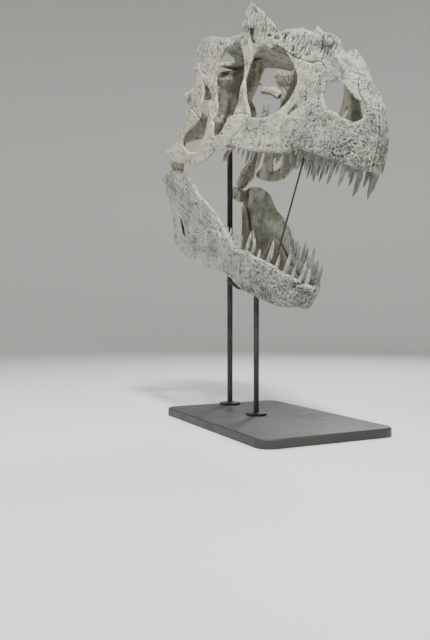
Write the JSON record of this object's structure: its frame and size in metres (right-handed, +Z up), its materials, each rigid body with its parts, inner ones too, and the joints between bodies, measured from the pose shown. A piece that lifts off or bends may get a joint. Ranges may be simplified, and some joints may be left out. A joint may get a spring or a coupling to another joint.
{
  "type": "theropod dinosaur skull",
  "caption": "Life-size skull of a large meat-eating dinosaur, jaws agape, divided into its bones with teeth fused in, held on a low base by rods.",
  "frame": {"origin": "centre of the base's underside, on the floor", "axes": "+X towards the snout, +Y to the animal's left, +Z up"},
  "size_m": [0.9277, 0.4, 1.1818],
  "materials": {
    "skull_bone": "dry, rough, mottled pale grey bone",
    "jaw_bone": "dry, rough, mottled grey bone",
    "inner_bone": "dry, smoother cream bone",
    "stand_paint": "matt dark grey paint",
    "stand_steel": "satin black paint on steel"
  },
  "bodies": {
    "root": {"angular_l": "jaw_bone", "angular_r": "jaw_bone", "articular_l": "inner_bone", "articular_r": "inner_bone", "braincase": "inner_bone", "dentary_l": "jaw_bone", "dentary_r": "jaw_bone", "ectopterygoid_l": "inner_bone", "ectopterygoid_r": "inner_bone", "jugal_l": "skull_bone", "jugal_r": "skull_bone", "lacrimal_l": "skull_bone", "lacrimal_r": "skull_bone", "maxilla_l": "skull_bone", "maxilla_r": "skull_bone", "nasal_l": "skull_bone", "nasal_r": "skull_bone", "palatine_l": "inner_bone", "palatine_r": "inner_bone", "postorbital_l": "skull_bone", "postorbital_r": "skull_bone", "prearticular_l": "inner_bone", "prearticular_r": "inner_bone", "premaxilla_l": "skull_bone", "premaxilla_r": "skull_bone", "pterygoid_l": "inner_bone", "pterygoid_r": "inner_bone", "quadrate_l": "inner_bone", "quadrate_r": "inner_bone", "quadratojugal_l": "skull_bone", "quadratojugal_r": "skull_bone", "skull_roof": "skull_bone", "splenial_l": "inner_bone", "splenial_r": "inner_bone", "squamosal_l": "skull_bone", "squamosal_r": "skull_bone", "stand_base": "stand_paint", "stand_front_rod": "stand_steel", "stand_jaw_strut": "stand_steel", "stand_rear_rod": "stand_steel", "surangular_l": "jaw_bone", "surangular_r": "jaw_bone", "vomer": "inner_bone"}
  },
  "joints": []
}
